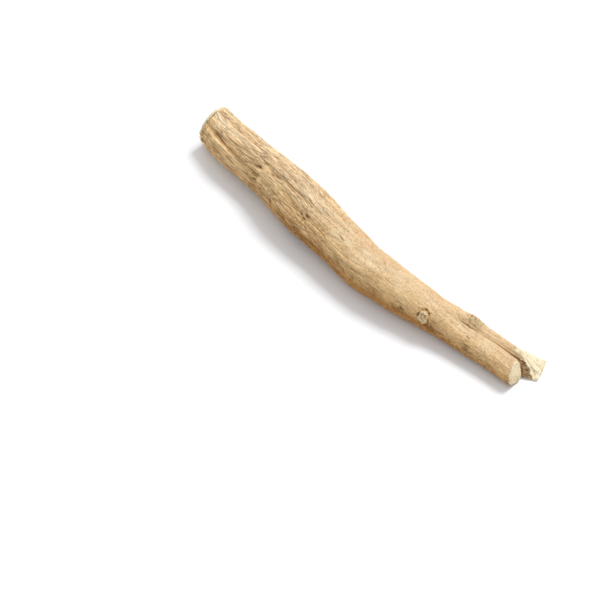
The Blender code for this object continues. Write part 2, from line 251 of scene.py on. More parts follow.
# Dark pits and specks: place, angle, half length, half width in mm, depth, darkness. A depth below 0
# is a small bump.
SPECKS = (
    (30.9, 125.3, 1.3, 0.6, 0.5, 1), (29.6, 128.5, 0.7, 0.3, 0.2, 0.7),
    (37.8, 119, 0.7, 0.4, 0.25, 0.95), (39.1, 112, 0.7, 0.35, 0.2, 0.8),
    (40.1, 107, 0.4, 0.4, 0.15, 0.75), (40.9, 103, 0.6, 0.4, 0.12, 0.65),
    (38, 105, 0.6, 0.25, 0.12, 0.55), (41.4, 112, 0.35, 0.3, 0.12, 0.6),
    (55.3, 136.5, 0.55, 0.45, 0.4, 1), (57, 131, 0.7, 0.42, 0.4, 1.1),
    (58.1, 129.3, 0.4, 0.34, 0.25, 0.95), (56.9, 142, 0.9, 0.42, 0.4, 1.1),
    (59.2, 137, 0.3, 0.5, 0.15, 0.5), (71.3, 86, 0.6, 0.3, 0.15, 0.7),
    (70.4, 92, 0.3, 0.45, 0.12, 0.55), (71.9, 64, 0.5, 0.4, 0.1, 0.5),
    (77.3, 77, 0.4, 0.3, 0.15, 0.6), (77.6, 85, 0.35, 0.35, 0.15, 0.6),
    (78.6, 90, 0.3, 0.25, 0.1, 0.5), (88.6, 159, 0.3, 0.6, 0.25, 0.9),
    (89.6, 157, 0.4, 0.3, 0.2, 0.8), (90.4, 161, 0.35, 0.3, 0.2, 0.75),
    (87.2, 168, 0.5, 0.25, 0.15, 0.75), (86.8, 164.6, 0.38, 0.42, -0.32, 0),
    (88, 160.6, 0.36, 0.36, -0.28, 0), (98.8, 164.6, 0.4, 0.6, -0.3, 0),
    (84.9, 162, 0.55, 0.3, 0.12, 0.5), (86.4, 164, 0.5, 0.3, 0.12, 0.45),
    (99.9, 166, 0.45, 0.95, 0.35, 1), (99, 172, 0.3, 0.6, 0.2, 0.8),
    (109.9, 166, 0.25, 0.5, 0.2, 0.9), (110.6, 172, 0.45, 0.22, 0.2, 0.85),
    (111.3, 178, 0.25, 0.45, 0.2, 0.9), (109.6, 178, 0.4, 0.2, 0.15, 0.8),
    (112, 168, 0.25, 0.35, 0.15, 0.7), (97.5, 177, 0.5, 0.5, 0.2, 0.7),
    (98.7, 153, 0.5, 0.35, 0.12, 0.5), (115.8, 108, 0.38, 0.32, 0.15, 0.65),
    (112.4, 118, 0.3, 0.25, 0.1, 0.35), (114.1, 172.5, 0.35, 0.35, 0.2, 0.9),
    (111.8, 160, 0.5, 0.22, 0.15, 0.6), (122.2, 113.3, 0.36, 0.28, 0.22, 1),
    (122.8, 116, 0.3, 0.28, 0.18, 0.85), (122.4, 131, 0.26, 0.36, 0.12, 0.5),
    (123.1, 147, 0.5, 0.5, 0.15, 0.6), (123.3, 168, 0.5, 0.65, 0.2, 0.8),
    (27.8, 163, 0.5, 0.5, 0.25, 0.75), (28.8, 146, 0.6, 0.3, 0.15, 0.5),
    (30, 155, 0.5, 0.3, 0.2, 0.45), (31, 148, 0.35, 0.25, 0.15, 0.4),
    (28.9, 151, 0.3, 0.25, 0.12, 0.4), (42.7, 146.5, 1.2, 0.4, 0.1, 0.3),
    (132.2, 92, 0.2, 0.3, 0.05, 0.25), (47.8, 249, 0.9, 0.6, 0.3, 0.9),
    (24.2, 344, 0.8, 0.5, 0.3, 0.9), (97, 300, 0.7, 0.5, 0.25, 0.8), (118, 230, 0.5, 0.6, 0.2, 0.8),
)

# Patches where the fine wrinkles are rougher, or below 0 calmer: place, angle, half length, half
# width, share.
ROUGH_PATCHES = (
    (14, 92, 10, 2.6, -0.6), (4, 128, 3, 5, -0.3), (11, 122, 3, 1.2, -0.3), (43, 129, 5, 1.4, -0.6),
    (20, 152, 7, 1.2, -0.4), (30.4, 152, 2.8, 1.5, 0.4), (34, 136, 7, 2.4, -0.35),
    (22, 168, 9, 2.2, -0.45), (38.7, 109, 2.6, 1.2, 0.9), (57, 136, 2.6, 1.2, 0.3),
    (75, 156, 6, 1.6, 0.2), (86, 158, 3, 1.8, 0.3), (99, 168, 2.2, 1.8, 0.7),
    (110.6, 172, 1.6, 1.8, 0.7), (123.1, 158, 1.2, 2.2, 0.6), (111, 128, 5, 1.8, 0.5),
    (48, 250, 3, 2, 1.2), (24, 345, 3, 2, 1.2), (97, 300, 3, 2, 1),
)

# Stains: place, angle, half length, half width, how olive, how rusty.
STAINS = (
    (14, 178, 5, 2.5, 0.35, 0), (43, 146, 1.4, 1, 0.7, 0), (30.5, 152, 3, 2, 0.4, 0),
    (31.5, 180, 4.5, 1.3, 0, 0.9), (19, 172, 3, 1, 0, 0.4), (86.5, 140, 3, 1.2, 0.6, 0),
    (91, 172, 3, 2, 0.6, 0), (96.5, 168, 2, 1.6, 0, 0.6), (110.8, 173, 1.8, 1.8, 0, 1),
    (123.2, 160, 0.9, 2, 0.9, 0), (75, 160, 6, 2.5, 0.3, 0), (40, 72, 9, 2, 0, 0.25),
    (92, 108, 6, 2.5, 0, 0.25), (60, 240, 9, 4, 0.5, 0.2), (20, 320, 8, 3, 0.1, 0.6),
)

# Low ridges that catch the light: place, angle, half length, half width, height.
RIDGES = ((15, 152, 11, 1.5, 0.65), (46, 128, 9, 1.3, 0.3), (45, 151, 9, 1.5, 0.3))

# Pale spots, partly worn bark and partly painted highlight: place, angle, half length, half width,
# share.
RUBBED_AND_HIGHLIT = (
    (84, 118, 3.6, 1.9, 1.1), (87.3, 163, 0.8, 0.7, 2.2), (98.8, 164.8, 0.6, 0.8, 2),
    (113.9, 182, 0.8, 0.9, 1.8), (96.5, 122, 3, 1.5, 0.7), (71, 95, 5, 2.2, 0.5),
    (5, 100, 3.5, 2.6, 0.7), (90, 90, 12, 2.5, 0.4), (15, 92, 10, 2.4, 0.9), (48, 94, 8, 1.8, 0.6),
    (43, 130, 6, 1.5, 1), (18, 150, 7, 1.6, 1), (35, 150, 3, 1.5, 0.8), (57, 112, 6, 1.6, 0.8),
    (6, 152, 3, 1.5, 0.7), (127, 84, 9, 1.3, 0.4), (33, 134, 6, 1.8, 0.5), (24, 165, 9, 2, 0.7),
    (46, 160, 7, 1.6, 0.6),
)

# The torn knot: half its length and half its width, height, depth and half width of its ring.
TORN_KNOT = KNOTS[0]
TORN_HALF_LENGTH = 1.45
TORN_HALF_WIDTH = 2.15
TORN_HEIGHT = 0.8
TORN_RING = (1.26, 0.2, 0.5)

# Where the bark stops short of the cuts, and its thickness: its distance from each, and how much more
# it is on one side, as angle and half angle.
HEAD_BARE = 0.75
HEAD_BARE_MORE = 0.25
HEAD_BARE_SIDE = (114, 24)
TIP_BARE = 0.35
TIP_CHIPPED_MORE = 0.9
TIP_CHIPPED_SIDE = (200, 26)
BARK_THICKNESS = 0.32
# The head's raised lip, and the groove behind it: place and half width, depth, angle and half angle.
LIP_HEIGHT = 0.38
LIP_LENGTH = 0.6
GROOVE_PLACE = (1.25, 0.24)
GROOVE_DEPTH = 0.4
GROOVE_SIDE = (114, 32)
# How much shorter the tip is than the solid's, and the spur that its cut left.
TIP_SHORT = 0.7
SPUR_LENGTH = 1.3
SPUR_SIDE = (312, 42)

# The side root grows out of the root's own skin until here, and a crack parts them from there on;
# its darkness is painted shade where the two touch.
JOIN_END = 111.5
JOIN_FADE = 4
JOIN_SOFTNESS = 1.6
CRACK = (0.3, 0.5, 1, ((115.4, 72), (117.1, 69), (118.9, 64), (120.6, 56), (123, 44), (125.6, 30)))

# The rough shoulder where the side root leaves the root: the angle of its edge by place, where it
# rises, falls and darkens, its height, and how dark its hollows and the knob's are.
SHOULDER_EDGE = (
    (110.6, 60), (113.6, 68), (116.1, 70), (117.9, 66), (120.1, 57), (122.6, 44), (124.6, 30),
)
SHOULDER_PLACES = (110, 5, 121, 4)
SHOULDER_DARKENS = (113, 2)
SHOULDER_HEIGHT = 0.42
KNOB_DARKNESS = 0.6

# Places where the rows lie closer: middle, half length, how many times closer.
DENSE_PLACES = (
    (107.4, 3.6, 3.2), (2, 2.2, 3.2), (139.3, 2.2, 3), (31, 4, 0.8), (57, 4, 0.8), (118, 4, 1),
)

# Painted shade on the lower and under sides, as a dark tint: its share at the head and what the tip
# has less of it, each with the start and the length of its change, and what is added low down. Then
# the tan of the smooth half, its start and length, and its side, as middle angle, half angle and fade.
HEAD_SHADE_TINT = 0.15
SHADE_TINT_GROWS = (8, 60)
TIP_LESS_SHADE_TINT = 0.5
SHADE_TINT_SHRINKS = (110, 12)
LOW_SHADE_TINT = 0.45
LOW_SHADE_TINT_GROWS = (46, 16)
TAN = 0.34
TAN_GROWS = (52, 20)
TANNED_SIDE = (20, 98, 45)

# Noises, each row a share, the length of a cell, cells round and a seed: how the bark's changes
# wander along the root, lumps of the shoulder and of the knob, the ragged line where the roots join,
# the bark's edge at both cuts, the edge of the bared wood, and the wood's fibres.
WANDER = ((7, 11, 8, 351),)
SHOULDER_LUMPS = ((1, 0.9, 34, 321), (0.6, 0.45, 70, 322))
KNOB_LUMPS = ((0.8, 1.6, 9, 609), (0.4, 0.8, 20, 610))
JOIN_RAGGED = ((0.8, 3, 24, 311),)
HEAD_RAGGED = ((0.25, 1, 19, 301), (0.1, 1, 60, 302))
TIP_RAGGED = ((0.22, 1, 17, 303), (0.12, 1, 50, 304))
WOOD_RAGGED = ((0.2, 1.2, 40, 604), (0.25, 4, 16, 605))
FIBRES = ((0.16, 9, 24, 601), (0.09, 5, 60, 602))

# Windows over the angle, as start, length of the rise, end, length of the fall: the sides with painted
# shade, the one with painted warm shade, and the side root's near side, underside and dark blotch.
SHADE_TINTED_SIDE = (138, 60, 320, 40)
LOW_SIDE = (168, 24, 320, 40)
WARM_SHADE_SIDE = (92, 50, 320, 40)
NEAR_SIDE = (150, 40, 330, 30)
UNDER_SIDE = (205, 35, 325, 30)
BLOTCHED_SIDE = (100, 30, 230, 20)


def through(stations, place):
    """A smooth curve through the stations: cubics whose slopes are set by the neighbours."""
    known = np.array(stations)
    at, value = known[:, 0], known[:, 1:]
    slope = np.gradient(value, at, axis=0)
    low = np.clip(np.searchsorted(at, place, side="right") - 1, 0, len(at) - 2)
    span = (at[low + 1] - at[low])[:, None]
    t = (place - at[low])[:, None] / span
    start = (2 * t**3 - 3 * t**2 + 1) * value[low] + (t**3 - 2 * t**2 + t) * span * slope[low]
    end = (3 * t**2 - 2 * t**3) * value[low + 1] + (t**3 - t**2) * span * slope[low + 1]
    return (start + end).T


def looked_up(pairs, place):
    """A value by place, straight between the pairs."""
    return np.interp(place, *np.array(pairs).T)


def step(value):
    """0 below 0, 1 above 1, and a smooth rise between: 3t^2 - 2t^3."""
    t = np.clip(value, 0.0, 1.0)
    return t * t * (3 - 2 * t)


def rising(value, start, length):
    """0 up to the start, 1 from a length after it, and a smooth rise between."""
    return step((value - start) / length)


def window(value, start, rise, end, fall):
    """A rise over a length from the start, and a fall over another from the end."""
    return rising(value, start, rise) * (1 - rising(value, end, fall))


def bell(offset, width, power=2):
    """1 at no offset and small past the width: exp(-x^power). A higher power has a flatter top."""
    return np.exp(-((offset / width) ** power))


def turn_between(angle, other):
    """The difference of two angles in degrees, from -180 to 180."""
    return (angle - other + 180.0) % 360.0 - 180.0


def bell_at(place, middle, half, power=2):
    """A bell along the root."""
    return bell(place - middle, half, power)


def bell_round(angle, middle, half, power=2):
    """A bell over the angle, closed round the root."""
    return bell(turn_between(angle, middle), half, power)


def side_window(angle, middle, reach, fade):
    """1 round a middle angle, fading to 0 at the reach on both sides of it."""
    return step((reach - np.abs(turn_between(angle, middle))) / fade)


def noise(along, angle, cells_round, seed):
    """Smooth noise of about -1 to 1 that closes on itself round the root.

    Each point of a grid has a slope in a random direction. A cell blends what the slopes at its
    four corners give, with weights that rise as 6t^5 - 15t^4 + 10t^3.
    """
    lowest = np.floor(along.min())
    rows = int(along.max() - lowest) + 3
    heading = np.random.default_rng(seed).uniform(0, 2 * np.pi, (rows, cells_round))
    u = along - lowest
    v = (angle % 360.0) / 360.0 * cells_round
    row, column = u.astype(int), v.astype(int) % cells_round
    u, v = u - np.floor(u), v - np.floor(v)
    rise_u = u**3 * (u * (6 * u - 15) + 10)
    rise_v = v**3 * (v * (6 * v - 15) + 10)
    total = np.zeros_like(u)
    for down in (0, 1):
        for across in (0, 1):
            turned = heading[row + down, (column + across) % cells_round]
            value = np.cos(turned) * (u - down) + np.sin(turned) * (v - across)
            weight = (rise_u if down else 1 - rise_u) * (rise_v if across else 1 - rise_v)
            total += value * weight
    return 1.6 * total


def noises(place, angle, layers):
    """A sum of noises, each with its share, the length of a cell, cells round and a seed."""
    return sum(share * noise(place / cell, angle, cells, seed) for share, cell, cells, seed in layers)


def round_noise(angle, cells_round, seed):
    """Noise that changes only round the root."""
    return noise(angle * 0, angle, cells_round, seed)


def lobed(place, angle):
    """The section's factor on the radius: a few slow waves round the root that turn along it."""
    factor = np.ones_like(angle)
    for waves, share, start, turn in LOBES:
        factor += share * np.cos(np.radians(waves * (angle - start) + turn * place))
    return factor


def furrow_height(place, angle):
    """Long valleys that drift round the root and wander, and fade in and out at their ends."""
    height = np.zeros_like(angle)
    for count, (start, first, last, depth, half) in enumerate(FURROWS):
        sway = FURROW_WANDER * np.sin(2 * np.pi * place / FURROW_WAVE + FURROW_PHASE * count)
        path = start + FURROW_DRIFT * (place - first) + sway
        fade = rising(place, first, FURROW_FADE) * step((last - place) / FURROW_FADE)
        height -= depth * fade * bell_round(angle, path, half)
    return height


def rib_height(place, angle):
    """Ribs along the root, each set a few waves round it that turn and swell along it."""
    height = np.zeros_like(angle)
    for waves, high, turn, swell in RIBS:
        size = 1 - RIB_SWELL + RIB_SWELL * np.sin(2 * np.pi * swell * place + waves)
        height += high * size * np.sin(np.radians(waves * angle + turn * place))
    return height


def spot_offset(place, angle, radius, spot):
    """How far a point lies from a spot along the root and round it, in millimetres."""
    return place - spot[0], np.radians(turn_between(angle, spot[1])) * radius


def knot_height(place, angle, radius):
    """Round knots, each in a sunken rim, and shallow pits. The torn knot is made on its own."""
    height = np.zeros_like(angle)
    for knot in KNOTS[1:]:
        size, high, rim = knot[2:]
        off = np.hypot(*spot_offset(place, angle, radius, knot)) / size
        height += high * bell(off, 1, 4) - rim * bell(off - RIM_REACH, RIM_WIDTH)
    for pit in PITS:
        height -= pit[3] * bell(np.hypot(*spot_offset(place, angle, radius, pit)), pit[2])
    return height


def patches(rows, place, angle, radius, value=4):
    """The sum of soft patches, each with the share that stands at the given place in its row."""
    total = np.zeros_like(angle)
    for row in rows:
        along, across = spot_offset(place, angle, radius, row)
        total += row[value] * bell(along, row[2]) * bell(across, row[3])
    return total


def crease_depth(creases, place, angle, radius):
    """Creases along given lines: a valley by the distance to the nearest stretch of each line.

    Gives the depth and the darkness, which is painted shade. A crease thins out towards both its ends.
    """
    depth, dark = np.zeros_like(angle), np.zeros_like(angle)
    for half, deep, darkness, line in creases:
        points = np.array(line, float)
        near = (place > points[0, 0] - CREASE_ROOM) & (place < points[-1, 0] + CREASE_ROOM)
        at, turned, round_by = place[near], angle[near], radius[near]
        nearest, reach = np.full(at.shape, np.inf), np.zeros(at.shape)
        pieces = np.hypot(*np.diff(points * (1.0, DEGREE_LENGTH), axis=0).T)
        lengths = np.concatenate([[0.0], np.cumsum(pieces)])
        for k, (a, b) in enumerate(zip(points[:-1], points[1:])):
            px, py = spot_offset(at, turned, round_by, a)
            qx, qy = b[0] - a[0], np.radians(b[1] - a[1]) * round_by
            t = np.clip((px * qx + py * qy) / (qx**2 + qy**2), 0, 1)
            gap = np.hypot(px - t * qx, py - t * qy)
            closer = gap < nearest
            nearest = np.where(closer, gap, nearest)
            reach = np.where(closer, lengths[k] + t * pieces[k], reach)
        share = reach / lengths[-1]
        thin = np.sqrt(np.clip(np.minimum(share, 1 - share) / CREASE_END, 0.05, 1.0))
        valley = bell(nearest, half * thin) * thin
        depth[near] = np.maximum(depth[near], deep * valley)
        dark[near] = np.maximum(dark[near], darkness * valley)
    return depth, dark


def swayed_angle(place, angle, seed):
    """The angle swayed by noise of three sizes, so that what follows it runs as grown fibres do."""
    swayed = angle - FURROW_DRIFT * place
    for count, (cell, cells_round, sway) in enumerate(SWAYS):
        swayed = swayed + sway * noise(place / cell, angle, cells_round, seed + count)
    return swayed


def wrinkle_height(place, angle, radius, boost, seed):
    """Fine wrinkles: thin valleys along the lines where long, swayed noise is zero, in four sizes.

    The distance to such a line is the noise over its own steepness. Soft patches of noise let each
    size come and go, and boost adds to it. Gives the height and the valleys' painted shade, 0 to 1.
    """
    swayed = swayed_angle(place, angle, seed)
    height, dark = np.zeros_like(angle), np.zeros_like(angle)
    for count, (cell, cells_round, half, depth, fold, darkness) in enumerate(WRINKLES):
        wave = noise(place / cell, swayed, cells_round, seed + 10 + count)
        flattest = LEAST_STEEPNESS * cells_round / (2 * np.pi * radius)
        down = np.gradient(wave, place[:, 0], axis=0)
        across = np.gradient(wave, np.radians(angle[0]), axis=1) / radius
        away = np.abs(wave) / np.maximum(np.hypot(down, across), flattest)
        patch = noise(place / (1.3 * cell), angle, max(cells_round // 4, 3), seed + 20 + count)
        strong = np.clip(0.85 + 0.65 * patch + boost, 0.0, 1.6)
        valley = bell(away, half)
        height += strong * (fold * np.minimum(np.abs(wave), 0.5) - depth * valley)
        dark = np.maximum(dark, darkness * np.clip(strong, 0, 1.2) * valley)
    return height, dark


def torn_knot(place, angle, radius):
    """The torn knot: a cracked, uneven stump in a dark ring. Gives height, darkness and wood.

    The stump is an ellipse with a ragged edge. Its cracks run where a noise is near zero.
    """
    along, across = spot_offset(place, angle, radius, TORN_KNOT)
    near = (np.abs(along) < 4) & (np.abs(across) < 6)
    long, wide = along / TORN_HALF_LENGTH, across / TORN_HALF_WIDTH
    way, off = np.degrees(np.arctan2(wide, long)), np.hypot(long, wide)
    ragged = off * (1 + 0.16 * round_noise(way, 7, 401) + 0.10 * noise(off * 1.5, way, 13, 402))
    stump = np.where(near, 1 - rising(ragged, 0.82, 0.30), 0.0)
    rift = noise(across / 1.1, along * 130.0, 3, 403)
    rift = rift + 0.5 * noise(across / 0.5, along * 260.0, 3, 404)
    cracks = bell(rift, 0.16) * stump
    lumps = 0.34 * noise(across / 0.9, along * 100.0, 4, 405)
    middle, width, deep = TORN_RING
    ring = np.where(near, bell(ragged - middle, width), 0.0)
    ring = ring * np.clip(0.66 + 1.1 * round_noise(way, 9, 406), 0.12, 1.1)
    height = stump * (TORN_HEIGHT * (1 - 0.35 * off**2) + lumps) - 0.60 * cracks - deep * ring
    lip = np.where(near, bell(ragged - middle - 0.45, 0.22), 0.0)
    return height + 0.16 * lip, np.clip(0.95 * ring + 0.60 * cracks, 0, 1), stump


def side_section(place):
    """The side root's section at a place: sideways and upright middle, half width, half height."""
    inside = np.clip(place, SIDE_STATIONS[0][0], SIDE_STATIONS[-1][0])
    return (row[:, None] for row in through(SIDE_STATIONS, inside))


def side_reach(along, angle, sideways, middle_height):
    """Distance from the root's middle along each ray to the side root's far skin.

    Each is the greater root of a quadratic, as a ray meets an ellipse. Where a ray misses, the
    distance falls off quickly from that of the nearest touching ray.
    """
    side_y, side_z, half_width, half_height = side_section(along)
    radians = np.radians(angle)
    ray_y, ray_z = np.cos(radians) / half_width, np.sin(radians) / half_height
    from_y, from_z = (sideways - side_y) / half_width, (middle_height - side_z) / half_height
    a = ray_y**2 + ray_z**2
    b = ray_y * from_y + ray_z * from_z
    inside = b**2 - a * (from_y**2 + from_z**2 - 1)
    reach = (-b + np.sign(inside) * np.sqrt(np.abs(inside))) / a
    return np.where(along[:, None] > SIDE_STATIONS[0][0] + 1, reach, 0.0)


def soft_greater(first, second, softness):
    """The greater of two, with a rounded join where they are close."""
    share = np.clip(0.5 + 0.5 * (second - first) / softness, 0, 1)
    return first + (second - first) * share + softness * share * (1 - share) / 2


def crowded(samples, wanted, shares):
    """Places at the shares of a running sum that grows faster where more of them are wanted."""
    grown = np.concatenate([[0.0], np.cumsum((wanted[1:] + wanted[:-1]) / 2)])
    return np.interp(shares * grown[-1], grown, samples)


def row_places(first, last, rows):
    """Places of the rows, closer at the dense places."""
    fine = np.linspace(first, last, 4000)
    wanted = 1 + sum(more * bell(fine - middle, half, 4) for middle, half, more in DENSE_PLACES)
    return crowded(fine, wanted, np.linspace(0, 1, rows))


def column_turns():
    """Angles of the columns, closer on the fine side."""
    middle, half, closer = ROOT_FINE_SIDE
    fine = np.linspace(0.0, 360.0, 3601)
    wanted = 1 + closer * bell_round(fine, middle, half, 4)
    return crowded(fine, wanted, np.arange(ROOT_COLUMNS) / ROOT_COLUMNS)


def side_by_side(*parts):
    """Numbers as the parts of one vector for each point."""
    return np.stack(np.broadcast_arrays(*parts), axis=-1)


def tube_mesh(name, rings, poles, values):
    """A closed mesh of quads between neighbouring rings, with a fan to the pole at each end.

    values holds arrays of one number or one vector for each ring point, which become the mesh's
    attributes. A pole takes the mean of the ring beside it.
    """
    rows, columns = rings.shape[:2]
    here = np.arange(rows * columns).reshape(rows, columns)
    beside = np.roll(here, -1, axis=1)
    quads = side_by_side(here[:-1], beside[:-1], beside[1:], here[1:]).reshape(-1, 4)
    head = side_by_side(rows * columns, beside[0], here[0])
    tip = side_by_side(rows * columns + 1, here[-1], beside[-1])
    points = np.concatenate([rings.reshape(-1, 3), poles])
    points[:, :2] -= BOX_MIDDLE
    loops = np.concatenate([quads.ravel(), head.ravel(), tip.ravel()])
    sizes = np.concatenate([np.full(len(quads), 4), np.full(2 * columns, 3)])
    starts = np.concatenate([[0], np.cumsum(sizes)[:-1]])
    mesh = bpy.data.meshes.new(name)
    mesh.vertices.add(len(points))
    mesh.vertices.foreach_set("co", (points * MM).astype(np.float32).ravel())
    mesh.loops.add(len(loops))
    mesh.loops.foreach_set("vertex_index", loops.astype(np.int32))
    mesh.polygons.add(len(sizes))
    mesh.polygons.foreach_set("loop_start", starts.astype(np.int32))
    for key, value in values.items():
        flat = value.reshape(rows * columns, -1)
        ends = np.stack([value[k].reshape(columns, -1).mean(0) for k in (0, -1)])
        full = np.concatenate([flat, ends]).astype(np.float32)
        kind, field = ("FLOAT", "value") if full.shape[1] == 1 else ("FLOAT_VECTOR", "vector")
        mesh.attributes.new(key, kind, "POINT").data.foreach_set(field, full.ravel())
    mesh.update()
    mesh.validate()
    mesh.shade_smooth()
    return mesh


def capped(rings, turn, middles, dishes, values, seed):
    """Closes both ends with rings that shrink to the face's middle, dished along X.

    Radial cracks and an uneven cut are sunk into each face. A thin ring of bark stays at the rim,
    and the rest is wood. Gives all rings, the two poles and the values with their new rows.
    """
    share, angle = np.meshgrid(np.linspace(*CAP_SHARES, CAP_ROWS), turn, indexing="ij")
    parts, poles, extra = [], [], []
    for k, (middle, dish) in enumerate(zip(middles, dishes)):
        ring, outward = rings[-k], 2 * k - 1
        face = middle + (ring - middle) * share[..., None]
        crack = bell(noise(share * 1.3, angle, 17, seed + k), 0.10)
        crack = crack * rising(share, 0.15, 0.3) * step((0.94 - share) / 0.1)
        crack = crack * np.clip(0.3 + noise(share * 0.8, angle, 5, seed + 5 + k), 0, 1)
        cut = 0.10 * noise(share * 5, angle, 6, seed + 10 + k) * step((1 - share) / 0.2)
        face[..., 0] += outward * (dish * (1 - share) + cut - 0.35 * crack)
        rim = rising(share, 0.925, 0.03)
        years = 0.5 + 0.5 * np.sin(share * 26 + 1.5 * noise(share * 2, angle, 5, seed + 20 + k))
        streaked = 0.35 + 0.4 * k + 0.7 * noise(share * 3, angle, 7, seed + 30 + k)
        across, up = (ring[:, 1:] - middle[1:]).T[:, None] * share
        parts.append(face)
        poles.append(middle + (outward * dish, 0, 0))
        extra.append({
            "wood": 1 - rim,
            "dark": np.clip(0.8 * crack + 0.10 * years + 0.35 * rim, 0, 1),
            "stain": side_by_side(0.0, np.clip(streaked, 0, 1), 0.0),
            "tint": np.zeros(share.shape + (3,)),
            "grain": side_by_side(share * 3 + 7 * k, across, up),
        })
    full = np.concatenate([parts[0][::-1], rings, parts[1]])
    merged = {key: np.concatenate([extra[0][key][::-1], values[key], extra[1][key]]) for key in values}
    return full, np.array(poles), merged


def heading(along, sideways):
    """The curve's slope in plan, and the length of its step for each millimetre along."""
    slope = np.gradient(sideways[:, 0], along)[:, None]
    return slope, np.hypot(1.0, slope)


def end_middles(along, sideways, height):
    """The middles of the first and the last ring."""
    return np.stack([along, sideways[:, 0], height[:, 0]], axis=-1)[[0, -1]]


def skin_points(place, angle, radius, sideways, height, way):
    """Points at a radius from the curve, square to it in plan, none of them under the floor."""
    slope, tilt = way
    radians = np.radians(angle)
    out = radius * np.cos(radians)
    z = np.maximum(height + radius * np.sin(radians), 0.0)
    return place - out * slope / tilt, sideways + out / tilt, z


def main_root_mesh(wrinkling):
    """The root's surface: rings square to its curve, with all its relief along their radius."""
    start, length = ROOT_STATIONS[0][0], ROOT_STATIONS[-1][0]
    along, turn = row_places(start, length, ROOT_ROWS), column_turns()
    sideways, thickness = (row[:, None] for row in through(ROOT_STATIONS, along))
    place, angle = np.meshgrid(along, turn, indexing="ij")
    smooth = np.broadcast_to(thickness / 2, place.shape)
    skin = place, angle, smooth
    resting = sum(bell_at(place, rest, REST_HALF_LENGTH) for rest in REST_PLACES)
    height = thickness / 2 + CLEARANCE - (CLEARANCE + REST_DEPTH) * resting[:, :1]

    rough = looked_up(ROUGHNESS, place)
    boost = patches(ROUGH_PATCHES, *skin)
    furrows = furrow_height(place, angle)
    filled = bell_at(place, *FILLED_PLACE, 4) * bell_round(angle, *FILLED_SIDE, 4)
    furrows = furrows * (1 - FILLED_SHARE * filled)
    fine, dark = wrinkle_height(*skin, boost, 7)
    creased, crease_shade = crease_depth((*CREASES, CRACK), *skin)
    specks, speck_dark = patches(SPECKS, *skin), patches(SPECKS, *skin, 5)
    knot, knot_dark, knot_wood = torn_knot(*skin)
    wandering = place + noises(place, angle, WANDER)
    upper = rising(wandering, *SMOOTH_FROM) * window(angle, *SMOOTH_SIDE)
    calm = looked_up(WRINKLE_SHARES, place) * (1 - (1 - SMOOTH_SHARE) * upper)
    calm = calm + 0.35 * boost + LOWER_WRINKLES * rising(angle, 140, 30)
    calm = np.clip(calm, 0, 1.5) * (1 - knot_wood)
    relief = rough * (furrows + rib_height(place, angle)) + wrinkling * calm * fine
    relief += knot_height(*skin) - creased - specks + knot + patches(RIDGES, *skin)
    # Painted shade: darker in the wrinkles' valleys and in the furrows.
    dark = np.clip(dark * calm, 0, 1) + 0.08 * rough * np.clip(-furrows, 0, 1)
    dark = np.maximum.reduce([dark, crease_shade, speck_dark, knot_dark])

    pressed = bell_round(angle, 270, REST_HALF_ANGLE, 4) * np.clip(resting, 0, 1)
    radius = smooth * (1 + (lobed(place, angle) - 1) * (1 - pressed)) + relief * (1 - pressed)

    shoulder = step((looked_up(SHOULDER_EDGE, place) - angle) / 7 + 0.5)
    shoulder = shoulder * window(place, *SHOULDER_PLACES)
    mottled = noises(place, angle, SHOULDER_LUMPS)
    radius += SHOULDER_HEIGHT * shoulder * (0.9 + 0.30 * mottled)
    shoulder = shoulder * rising(place, *SHOULDER_DARKENS)
    dark = np.maximum(dark, KNOB_DARKNESS * shoulder * rising(mottled, 0.05, 0.3))

    joined = soft_greater(radius, side_reach(along, angle, sideways, height), JOIN_SOFTNESS)
    ragged = place + noises(place, angle, JOIN_RAGGED)
    radius += (joined - radius) * step((JOIN_END + JOIN_FADE - ragged) / JOIN_FADE)

    bare_head = HEAD_BARE + noises(place * 0, angle, HEAD_RAGGED)
    bare_head += HEAD_BARE_MORE * bell_round(angle, *HEAD_BARE_SIDE, 4)
    bare_tip = TIP_BARE + noises(place * 0, angle, TIP_RAGGED)
    chipped = bell_round(angle, *TIP_CHIPPED_SIDE, 4) * (0.5 + round_noise(angle, 40, 305))
    bare_tip += TIP_CHIPPED_MORE * chipped
    from_head, from_tip = place - start, length - place
    from_bark = np.minimum(from_head - bare_head, from_tip - bare_tip)
    bare = 1 - rising(from_bark, -0.10, 0.20)
    under_bark = bell(from_bark, 0.22)
    radius -= bare * (BARK_THICKNESS + 0.6 * np.clip(relief, -0.6, 0.4)) + 0.12 * under_bark
    lip = bell(from_head, LIP_LENGTH, 4) * np.clip(0.8 + 0.5 * round_noise(angle, 21, 306), 0, 1.2)
    groove = bell_at(from_head, *GROOVE_PLACE) * bell_round(angle, *GROOVE_SIDE, 4)
    radius += LIP_HEIGHT * lip - GROOVE_DEPTH * groove
    worn = 1 - np.clip(np.minimum(from_head + 0.3, from_tip) / END_EDGE, 0, 1)
    radius -= 0.7 * END_EDGE * (1 - np.sqrt(np.clip(1 - worn**2, 0, 1)))
    # Painted shade along the bark's edge at the cuts and in the groove behind the head's lip.
    dark = np.maximum(dark * (1 - bare), 0.6 * under_bark * rising(bare_head, 0.75, 0.25))
    dark = np.maximum(dark, 0.95 * groove)

    out, up = radius * np.cos(np.radians(angle)), radius * np.sin(np.radians(angle))
    way = heading(along, sideways)
    spur = SPUR_LENGTH * bell_round(angle, *SPUR_SIDE) - TIP_SHORT
    lean = step(1 - from_head / LEAN_REACH) * (HEAD_LEAN[0] * out + HEAD_LEAN[1] * up)
    lean += step(1 - from_tip / LEAN_REACH) * (TIP_LEAN[0] * out + TIP_LEAN[1] * up + spur)
    x, y, z = skin_points(place, angle, radius, sideways, height, way)
